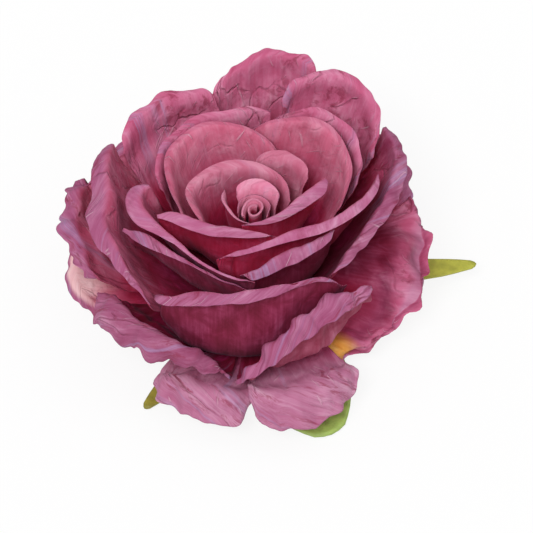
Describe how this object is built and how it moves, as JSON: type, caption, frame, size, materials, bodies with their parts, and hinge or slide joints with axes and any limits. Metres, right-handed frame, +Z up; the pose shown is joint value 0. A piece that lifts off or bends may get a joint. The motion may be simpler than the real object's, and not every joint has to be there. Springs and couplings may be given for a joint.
{
  "type": "crepe paper rose",
  "caption": "Full-blown crepe paper rose head: rolled bud, nested cupped petals with curled-back lips, a star of pointed green sepals and a small flat-bottomed cup.",
  "frame": {"origin": "centre of the small flat foot under the green cup, on the surface the rose rests on", "axes": "+Z up through the bud, -Y towards the front petals seen in the picture, +X to the right of that view"},
  "size_m": [0.1155, 0.102, 0.0557],
  "materials": {
    "base green": "matt, wrapped crepe",
    "sepal green": "matt, finely creased crepe",
    "bud paper": "matt, finely creased crepe",
    "mauve crepe": "matt with a faint silky sheen, finely creased crepe"
  },
  "bodies": {
    "root": {"base_cup": "base green", "bud_core": "bud paper", "petal_01_bud_wrap": "bud paper", "petal_02_spiral": "bud paper", "petal_03_spiral": "bud paper", "petal_04_spiral": "bud paper", "petal_05_spiral": "bud paper", "petal_06_spiral": "bud paper", "petal_07_front": "mauve crepe", "petal_08_cup_back": "mauve crepe", "petal_09_front": "mauve crepe", "petal_10_cup_back": "mauve crepe", "petal_11_front": "mauve crepe", "petal_12_front": "mauve crepe", "petal_13_cup_outer": "mauve crepe", "petal_14_cup_outer": "mauve crepe", "petal_15_front": "mauve crepe", "petal_16_front": "mauve crepe", "petal_17_outer_left": "mauve crepe", "petal_18_outer_right": "mauve crepe", "petal_19_outer_back": "mauve crepe", "petal_20_outer_back": "mauve crepe", "petal_21_outer_back": "mauve crepe", "petal_22_low_left": "mauve crepe", "petal_23_low_right": "mauve crepe", "petal_24_low_front": "mauve crepe", "petal_25_low_front": "mauve crepe", "petal_26_skirt_front": "mauve crepe", "petal_27_skirt_front": "mauve crepe", "petal_28_skirt_left": "mauve crepe", "petal_29_skirt_back": "mauve crepe", "petal_30_skirt_back": "mauve crepe", "petal_31_skirt_back": "mauve crepe", "sepal_star": "sepal green"}
  },
  "joints": []
}
